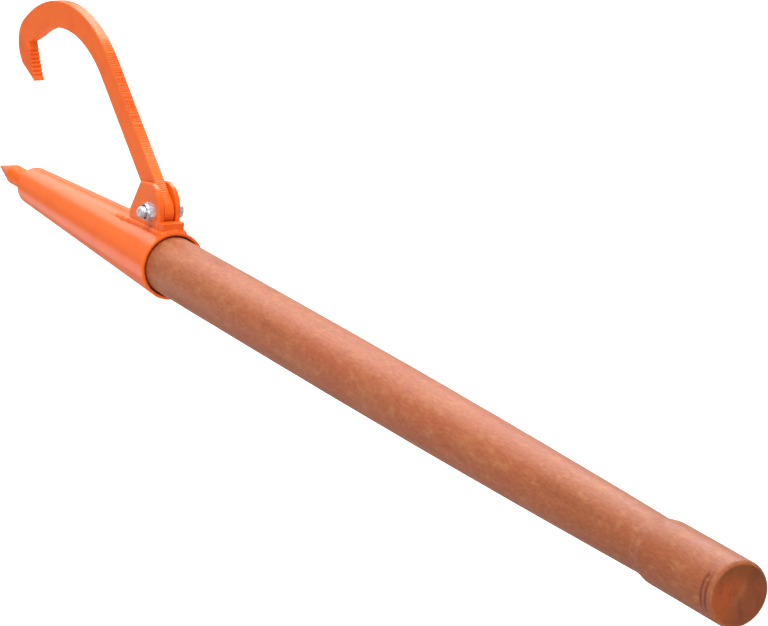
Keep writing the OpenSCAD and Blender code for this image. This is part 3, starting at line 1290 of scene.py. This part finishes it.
@dataclass
class Clevis:
    """The two ears, the stop block and the beads that hold them."""

    paint: bpy.types.Material
    beads: BeadTree
    cone: SocketCone
    ear_edge: float = 0.5 * MM
    block_edge: float = 0.9 * MM
    half_width: float = 10.1 * MM
    side_r: float = 3.3 * MM
    side_sink: float = 0.5 * MM
    lead_in: float = 1.4 * MM
    lead_sink: float = 3.4 * MM
    lead_girth: float = 1.5
    block_bead_at: float = -877.4 * MM
    block_bead_r: float = 2 * MM
    voxel: float = 0.35 * MM

    def build(self) -> None:
        """Rounds the plates' edges and lays the beads."""
        for node, edge in (("ear_left", self.ear_edge), ("ear_right", self.ear_edge),
                           ("stop_block", self.block_edge)):
            plate = softened(frame["nodes"][node], node + "_plate", edge)
            dress(plate, self.paint)
            stand_for(plate, Body.POLE, Slot.PAINT, node)
        self.lay_side("ear_weld_left", Side.NUT, 5)
        self.lay_side("ear_weld_right", Side.HEAD, 11)
        self.lay_block()

    def on_cone(self, x: float, y: float, sink: float, girth: float) -> BeadPoint:
        """Gives a bead's point that lies below the socket's surface."""
        return BeadPoint(Vector((x, y, self.cone.height(x, y) - sink)), girth)

    def lay_side(self, node: str, side: Side, seed: int) -> None:
        """Lays the beads of one side: along the plates' foot, and low in front of the ear.

        Args:
            node: The solid that they stand for.
            side: The side that they are on.
            seed: The seed of their drops.
        """
        low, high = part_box(node)
        ear_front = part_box("ear_left")[0][0]
        foot_y = side.value * self.half_width
        lead_y = side.value * (self.half_width - self.lead_in)
        rear = high[0] - self.side_r
        length = rear - ear_front
        foot = [
            self.on_cone(ear_front + share * length, foot_y, self.side_sink, girth)
            for share, girth in ((0.0, 0.9), (0.25, 1.0), (0.5, 0.94), (0.78, 1.0), (0.9, 1.08), (1.0, 0.96))
        ]
        front = low[0] + self.side_r
        lead = [
            self.on_cone(front + share * (ear_front - front), lead_y, self.lead_sink, self.lead_girth * girth)
            for share, girth in ((0.0, 0.8), (0.3, 0.92), (0.75, 1.0), (1.0, 1.0))
        ]
        bead = self.beads.lay(
            node + "_bead", [foot, lead], self.paint, self.voxel, smoothing=16,
            Pitch=1.8 * MM, Radius=self.side_r, Length=3.2 * MM, Spread=0.1, Drift=0.4 * MM, Seed=seed,
        )
        stand_for(bead, Body.POLE, Slot.PAINT, node)

    def lay_block(self) -> None:
        """Lays the bead across the mouth's top, behind the block."""
        sweep = math.asin((self.half_width - self.block_bead_r / 2) / self.cone.mouth_r)
        radius = self.cone.radius(self.block_bead_at)
        count = 12
        run = [
            BeadPoint(Vector((self.block_bead_at, radius * math.sin(a), radius * math.cos(a))))
            for a in (sweep * (2 * k / count - 1) for k in range(count + 1))
        ]
        bead = self.beads.lay(
            "block_bead", [run], self.paint, self.voxel,
            Pitch=2 * MM, Radius=self.block_bead_r, Length=2 * MM, Spread=0.08, Drift=0.12 * MM, Seed=21,
        )
        stand_for(bead, Body.POLE, Slot.PAINT, "block_weld")


@dataclass
class Hook:
    """The swinging hook, cut from plate with a torch and painted."""

    paint: bpy.types.Material
    cuts: CutTree
    step: float = 0.3 * MM
    edge_round: float = 0.8 * MM
    skin: float = 0.05 * MM
    rim: float = 0.3 * MM
    round_steps: int = 4
    band_steps: int = 6
    bore_edge: float = 0.25 * MM
    claw_tip: Vector = field(default_factory=lambda: Vector((-1147.8 * MM, 95.3 * MM)))
    claw_share: float = 0.35
    claw_reach: float = 6 * MM
    cut_pitch: float = 2.3 * MM
    cut_depth: float = 1.3 * MM
    cut_lean: float = 0.16
    least_cut: float = 0.16
    smooth_reach: float = 45 * MM
    rough_reach: float = 100 * MM
    fade_from: float = 150 * MM
    fade_to: float = 178 * MM
    crown_cut: float = 0.12

    def build(self) -> None:
        """Lofts the plate from the solid's outline and cuts its edge."""
        outline, bore = self.rims()
        self.pivot = sum(bore, Vector((0, 0))) / len(bore)
        self.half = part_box("hook")[1][1]
        run = smooth_run(outline, True, self.step)
        work = self.loft(run, bore)
        work = self.cuts.laid(work, self.paint, Pitch=self.cut_pitch, Depth=self.cut_depth, Lean=self.cut_lean)
        plate = baked(work, "hook_plate")
        for name in ("cut", "cut_place"):
            plate.data.attributes.remove(plate.data.attributes[name])
        dress(plate, self.paint)
        stand_for(plate, Body.HOOK, Slot.PAINT, "hook")

    def rims(self) -> list[list[Vector]]:
        """Follows the rims of the solid's flat side, the longest first, each anticlockwise."""
        shell = merged(frame["nodes"]["hook"])
        shell.faces.ensure_lookup_table()
        flat = {face for face in shell.faces if face.normal.y < -0.99}
        rim = [edge for edge in shell.edges if sum(face in flat for face in edge.link_faces) == 1]
        near: dict[bmesh.types.BMVert, list[bmesh.types.BMVert]] = {}
        for edge in rim:
            for vert in edge.verts:
                near.setdefault(vert, []).append(edge.other_vert(vert))
        loops: list[list[Vector]] = []
        while near:
            start = next(iter(near))
            loop, here = [], start
            while here in near:
                steps = near.pop(here)
                loop.append(Vector((here.co.x, here.co.z)))
                here = next((vert for vert in steps if vert in near), start)
            loops.append(self.tidied(loop))
        shell.free()
        return sorted(loops, key=len, reverse=True)

    @staticmethod
    def tidied(loop: list[Vector]) -> list[Vector]:
        """Drops doubled points and turns a loop anticlockwise."""
        kept = [point for i, point in enumerate(loop) if (point - loop[i - 1]).length > 0.05 * MM]
        area = sum(one.x * two.y - two.x * one.y for one, two in zip(kept, kept[1:] + kept[:1]))
        return kept if area > 0 else kept[::-1]

    def rounding(self, point: Vector) -> float:
        """Gives the edge's rounding at a point of the outline, which is small at the claw's tip."""
        away = min(1.0, (point - self.claw_tip).length / self.claw_reach)
        return self.edge_round * (self.claw_share + (1 - self.claw_share) * away)

    def cut_share(self, point: Vector) -> float:
        """Gives how rough the cut is at a point of the outline."""
        away = (point - self.pivot).length
        share = min(1.0, max(0.0, (away - self.smooth_reach) / (self.rough_reach - self.smooth_reach)))
        fade = min(1.0, max(0.0, (away - self.fade_from) / (self.fade_to - self.fade_from)))
        return (self.least_cut + (1 - self.least_cut) * share) * (1 - (1 - self.crown_cut) * fade)

    def loft(self, run: list[Vector], bore: list[Vector]) -> bpy.types.Object:
        """Builds the closed plate and marks each point's place on its cut edge.

        Args:
            run: The outline in short steps, anticlockwise.
            bore: The hole's outline.

        Returns:
            The plate.
        """
        count = len(run)
        ways = [(run[(i + 1) % count] - run[i]).normalized() for i in range(count)]
        inward = []
        for i in range(count):
            mean = (ways[i - 1] + ways[i]).normalized()
            stretch = 1 / max(0.6, mean.dot(ways[i]))
            inward.append(Vector((-mean.y, mean.x)) * stretch)
        shell = bmesh.new()
        shares: list[float] = []
        places: list[tuple[float, float, float]] = []
        lengths = [0.0]
        for i in range(count - 1):
            lengths.append(lengths[-1] + (run[i + 1] - run[i]).length)

        def ring(inset: Callable[[float], float], level: Callable[[float], float], share: float) -> list:
            """Adds one loop of points, with its inset and level from the edge's rounding."""
            made = []
            for i, point in enumerate(run):
                width = self.rounding(point)
                at = point + inward[i] * (self.skin + inset(width))
                across = level(width)
                made.append(shell.verts.new((at.x, across, at.y)))
                shares.append(share * self.cut_share(point))
                places.append((lengths[i], across, 0.0))
            return made

        face = self.half - self.skin
        rings = []
        for side in (1, -1):
            arcs = [k * math.pi / 2 / self.round_steps for k in range(self.round_steps + 1)]
            part = [ring(lambda w: w + self.rim, lambda w, s=side: s * face, 0.0)]
            for a in arcs:
                part.append(ring(
                    lambda w, a=a: w * (1 - math.sin(a)),
                    lambda w, a=a, s=side: s * (face - w * (1 - math.cos(a))),
                    math.sin(a) ** 2,
                ))
            if side > 0:
                rings.extend(part)
                for k in range(1, self.band_steps):
                    level = 1 - 2 * k / self.band_steps
                    rings.append(ring(lambda w: 0.0, lambda w, v=level: v * (face - w), 1.0))
            else:
                rings.extend(reversed(part))
        for one, two in zip(rings, rings[1:]):
            for i in range(count):
                j = (i + 1) % count
                shell.faces.new((one[i], one[j], two[j], two[i]))

        holes = []
        for widen, level in ((self.bore_edge, face), (0.0, face - self.bore_edge),
                             (0.0, self.bore_edge - face), (self.bore_edge, -face)):
            made = []
            for point in bore:
                at = point + (point - self.pivot).normalized() * widen
                made.append(shell.verts.new((at.x, level, at.y)))
                shares.append(0.0)
                places.append((0.0, 0.0, 0.0))
            holes.append(made)
        for one, two in zip(holes, holes[1:]):
            for i in range(len(bore)):
                j = (i + 1) % len(bore)
                shell.faces.new((one[j], one[i], two[i], two[j]))
        for outer, inner in ((rings[0], holes[0]), (rings[-1], holes[-1])):
            rims = [shell.edges.get((loop[i - 1], loop[i])) for loop in (outer, inner) for i in range(len(loop))]
            bmesh.ops.triangle_fill(shell, edges=rims, use_beauty=True)
        bmesh.ops.recalc_face_normals(shell, faces=shell.faces)
        mesh = bpy.data.meshes.new("hook_work")
        shell.to_mesh(mesh)
        shell.free()
        mesh.attributes.new("cut", "FLOAT", "POINT").data.foreach_set("value", shares)
        flat = [value for place in places for value in place]
        mesh.attributes.new("cut_place", "FLOAT_VECTOR", "POINT").data.foreach_set("vector", flat)
        mesh.shade_smooth()
        mesh.set_sharp_from_angle(angle=math.radians(35))
        return from_mesh("hook_work", mesh)


@dataclass
class PivotBolt:
    """The bolt, its nut and the ring that locks the nut.

    Each is spun about X, with the head at the lower end, and then laid along the pivot.
    """

    plating: bpy.types.Material
    nylon: bpy.types.Material
    threads: ThreadTree
    sides: int = 144
    flats: float = 14.3 * MM
    corner_r: float = 8.4 * MM
    head_h: float = 6.2 * MM
    nut_h: float = 5.6 * MM
    collar_h: float = 2.1 * MM
    ring_h: float = 1.95 * MM
    collar_r: float = 6.98 * MM
    lip: float = 0.3 * MM
    shank_r: float = 4.75 * MM
    bore_r: float = 4.85 * MM
    ring_r: float = 6.02 * MM
    clevis_half: float = 10.1 * MM
    chamfer_steps: int = 5
    thread_pitch: float = 1.6 * MM
    thread_depth: float = 0.55 * MM
    thread_step: float = 0.16 * MM
    thread_run_in: float = 1.5 * MM

    def build(self) -> None:
        """Builds the three pieces."""
        low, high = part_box("lock_ring")
        self.centre = Vector(((low[0] + high[0]) / 2, 0, (low[2] + high[2]) / 2))
        tip = -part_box("pivot_bolt")[0][1]
        self.add_bolt(tip)
        self.add_nut()
        self.add_ring()

    def corner(self, node: str, side: Side) -> float:
        """Finds the way to a corner of a solid's hexagon, as an angle about its axis."""
        far, turn = 0.0, 0.0
        for vert in frame["nodes"][node].data.vertices:
            off = vert.co - self.centre
            reach = math.hypot(off.x, off.z)
            if off.y * side.value > self.clevis_half and reach > far:
                far, turn = reach, math.atan2(-off.x, off.z)
        return turn

    def hexagonal(self, corner: float) -> Shape:
        """Gives the rule that keeps a spun form within a hexagon with a corner at an angle."""
        sixth = math.pi / 3

        def rule(x: float, radius: float, angle: float) -> tuple[float, float]:
            """Holds the radius within the flats."""
            side = self.flats / 2 / math.cos(((angle - corner) % sixth) - sixth / 2)
            return x, min(radius, side)

        return rule

    def chamfer(self, top: float, way: int) -> list[tuple[float, float]]:
        """Draws the turned-down corners of a hexagon, from its top face outwards."""
        inner = self.flats * 0.47
        steps = self.chamfer_steps
        return [
            (top - way * (self.corner_r - inner) * k / steps * math.tan(math.pi / 6),
             inner + (self.corner_r - inner) * k / steps)
            for k in range(steps + 1)
        ]

    def lay(self, piece: bpy.types.Object, finish: bpy.types.Material, slot: Slot, node: str) -> None:
        """Lays a spun piece along the pivot and dresses it."""
        piece.data.transform(Matrix.Translation(self.centre) @ Matrix.Rotation(-math.pi / 2, 4, "Z"))
        dress(piece, finish)
        stand_for(piece, Body.POLE, slot, node)

    def add_bolt(self, tip: float) -> None:
        """Builds the bolt, with its thread at the nut's end.

        Args:
            tip: Distance of the thread's end from the middle.
        """
        top = -self.clevis_half - self.head_h
        start = self.clevis_half - self.thread_run_in
        count = round((tip - 1 * MM - start) / self.thread_step)
        profile = [
            (top, 0.0),
            *self.chamfer(top, -1),
            (-self.clevis_half - self.lip, self.corner_r),
            (-self.clevis_half, self.corner_r - self.lip * 2),
            (-self.clevis_half, self.shank_r),
            *((start + self.thread_step * k, self.shank_r) for k in range(count + 1)),
            (tip, self.shank_r - 1 * MM),
            (tip, 0.0),
        ]
        corner = self.corner("pivot_bolt", Side.HEAD)
        blank = turned("threaded_bolt_blank", profile, self.sides, shape=self.hexagonal(corner), start=corner)
        work = self.threads.laid(
            blank, self.plating, Pitch=self.thread_pitch, Depth=self.thread_depth, From=start,
            Run_in=self.thread_run_in,
        )
        self.lay(baked(work, "threaded_bolt"), self.plating, Slot.PLATING, "pivot_bolt")

    def add_nut(self) -> None:
        """Builds the nut with its round collar."""
        face = self.clevis_half + self.nut_h
        rim = face + self.collar_h
        inside = self.ring_r + 0.05 * MM
        profile = [
            (self.clevis_half, self.bore_r),
            (self.clevis_half, self.corner_r - self.lip * 2),
            (self.clevis_half + self.lip, self.corner_r),
            *reversed(self.chamfer(face, 1)),
            (face, self.collar_r + self.lip / 3),
            (face + self.lip, self.collar_r),
            (rim - self.lip * 2, self.collar_r),
            (rim - self.lip / 2, self.collar_r - self.lip / 2),
            (rim, self.collar_r - self.lip * 1.5),
            (rim - self.lip, inside),
            (face - self.lip, inside),
            (face - self.lip, self.bore_r),
        ]
        corner = self.corner("nut", Side.NUT)
        nut = turned("lock_nut", profile, self.sides, loop=True, shape=self.hexagonal(corner), start=corner)
        self.lay(nut, self.plating, Slot.PLATING, "nut")

    def add_ring(self) -> None:
        """Builds the nylon ring."""
        low = self.clevis_half + self.nut_h - self.lip + 0.05 * MM
        top = self.clevis_half + self.nut_h + self.ring_h
        profile = [
            (low, self.bore_r),
            (low, self.ring_r),
            (top - self.lip, self.ring_r),
            (top, self.ring_r - self.lip),
            (top, self.bore_r + self.lip),
            (top - self.lip, self.bore_r),
        ]
        ring = turned("nylon_ring", profile, self.sides // 2, loop=True)
        self.lay(ring, self.nylon, Slot.PLASTIC, "lock_ring")


@dataclass(frozen=True)
class Lamp:
    """A soft lamp: where it hangs, its side in metres and its power in watts."""

    name: str
    place: Vector
    size: float
    power: float


@dataclass
class Studio:
    """The floor, the lamps and the camera."""

    floor_at: float = -0.42
    floor_glow: float = 0.42
    fade_from: float = 2.5
    fade_to: float = 5.5
    floor_tone: float = 0.85
    floor_mirrored: float = 0.4
    sky: float = 0.04
    mirrored: float = 0.74
    lens: float = 234.375
    eye: Vector = field(default_factory=lambda: Vector((2.7121125, -1.8658371, 1.1127847)))
    right: Vector = field(default_factory=lambda: Vector((0.48347, 0.87299, 0.06437)))
    up: Vector = field(default_factory=lambda: Vector((-0.26835, 0.07781, 0.96017)))
    back: Vector = field(default_factory=lambda: Vector((0.83321, -0.48149, 0.27189)))
    middle: Vector = field(default_factory=lambda: Vector((-0.6, 0.0, 0.03)))
    lamps: tuple[Lamp, ...] = field(default_factory=lambda: (
        Lamp("overhead", Vector((-0.3, 0.2, 3.0)), 1.6, 52.0),
        Lamp("left", Vector((-0.5, -1.6, 2.4)), 1.6, 54.0),
        Lamp("tip", Vector((-2.5, 1.5, 2.6)), 1.5, 76.0),
        Lamp("far", Vector((-4.1, 0.0, 2.5)), 2.4, 56.0),
        Lamp("front", Vector((2.6, -2.2, 1.6)), 1.6, 54.0),
        Lamp("end", Vector((3.2, 0.3, 1.0)), 1.6, 30.0),
        Lamp("under", Vector((-1.7, -0.26, -0.4)), 0.4, 0.6),
    ))

    def build(self) -> None:
        """Sets the stage."""
        self.set_camera()
        self.set_floor()
        self.set_world()
        for lamp in self.lamps:
            self.hang(lamp)

    def set_camera(self) -> None:
        """Puts the camera where the photograph was taken from."""
        data = bpy.data.cameras.new("camera")
        data.sensor_width = 36.0
        data.lens = self.lens
        data.clip_end = 100.0
        camera = bpy.data.objects.new("camera", data)
        turn = Matrix((self.right, self.up, self.back)).transposed().to_4x4()
        camera.matrix_world = Matrix.Translation(self.eye) @ turn
        bpy.context.scene.collection.objects.link(camera)
        bpy.context.scene.camera = camera

    def set_floor(self) -> None:
        """Lays the pale floor, which shows white but keeps the tool's shadow."""
        half = 12.0
        mesh = bpy.data.meshes.new("floor")
        edge = [(-half, -half), (half, -half), (half, half), (-half, half)]
        mesh.from_pydata([(x, y, self.floor_at) for x, y in edge], [], [(0, 1, 2, 3)])
        floor = from_mesh("floor", mesh)
        made, graph = material("floor_white")
        straight, glossy = self.seen(graph)
        along, across, _ = graph.parts(graph.place())
        away = (along * along + across * across).math("SQRT")
        far = graph.span(away, self.fade_from, self.fade_to)
        shown = far * (1 - self.floor_glow) + self.floor_glow
        strength = straight * shown + glossy * self.floor_mirrored
        glow = graph.add("ShaderNodeEmission", inputs={"Color": WHITE, "Strength": strength})
        shade = graph.blend(glossy, (self.floor_tone,) * 3 + (1.0,), BLACK)
        matt = graph.add("ShaderNodeBsdfDiffuse", inputs={"Color": shade})
        both = graph.add("ShaderNodeAddShader", inputs={0: glow.outputs[0], 1: matt.outputs[0]})
        graph.add("ShaderNodeOutputMaterial", inputs={"Surface": both.outputs[0]})
        dress(floor, made)

    def set_world(self) -> None:
        """Lights the scene from all round, and shows white behind it."""
        world = bpy.data.worlds.new("studio")
        bpy.context.scene.world = world
        world.use_nodes = True
        graph = Graph(world.node_tree)
        straight, glossy = self.seen(graph)
        strength = (straight * (1 - self.sky) + self.sky).math("MAXIMUM", glossy * self.mirrored)
        light = graph.add("ShaderNodeBackground", inputs={"Color": WHITE, "Strength": strength})
        graph.add("ShaderNodeOutputWorld", inputs={"Surface": light.outputs[0]})

    @staticmethod
    def seen(graph: Graph) -> tuple[Signal, Signal]:
        """Gives 1 where the camera looks straight at a thing, and 1 where it sees its reflection."""
        rays = graph.add("ShaderNodeLightPath").outputs
        return Signal(graph, rays["Is Camera Ray"]), Signal(graph, rays["Is Glossy Ray"])

    def hang(self, lamp: Lamp) -> None:
        """Hangs a lamp that faces the tool's middle."""
        data = bpy.data.lights.new(lamp.name, "AREA")
        data.shape = "SQUARE"
        data.size = lamp.size
        data.energy = lamp.power
        made = bpy.data.objects.new(lamp.name, data)
        made.location = lamp.place
        made.visible_camera = False
        made.rotation_mode = "QUATERNION"
        made.rotation_quaternion = (self.middle - lamp.place).to_track_quat("-Z", "Y")
        bpy.context.scene.collection.objects.link(made)


def main() -> None:
    """Builds the looks in order."""
    logging.basicConfig(level=logging.INFO, format="%(name)s: %(message)s")
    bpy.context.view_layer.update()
    bpy.context.scene.view_settings.view_transform = "Standard"
    paint = PowderCoat().make()
    plating = Plating().make()
    beads = BeadTree()
    cone = SocketCone()
    Studio().build()
    Handle(TurnedWood().make()).build()
    SteelSocket(paint, GroundPoint().make(), beads, cone).build()
    Clevis(paint, beads, cone).build()
    Hook(paint, CutTree()).build()
    PivotBolt(plating, Nylon().make(), ThreadTree()).build()


if __name__ == "__main__":
    main()
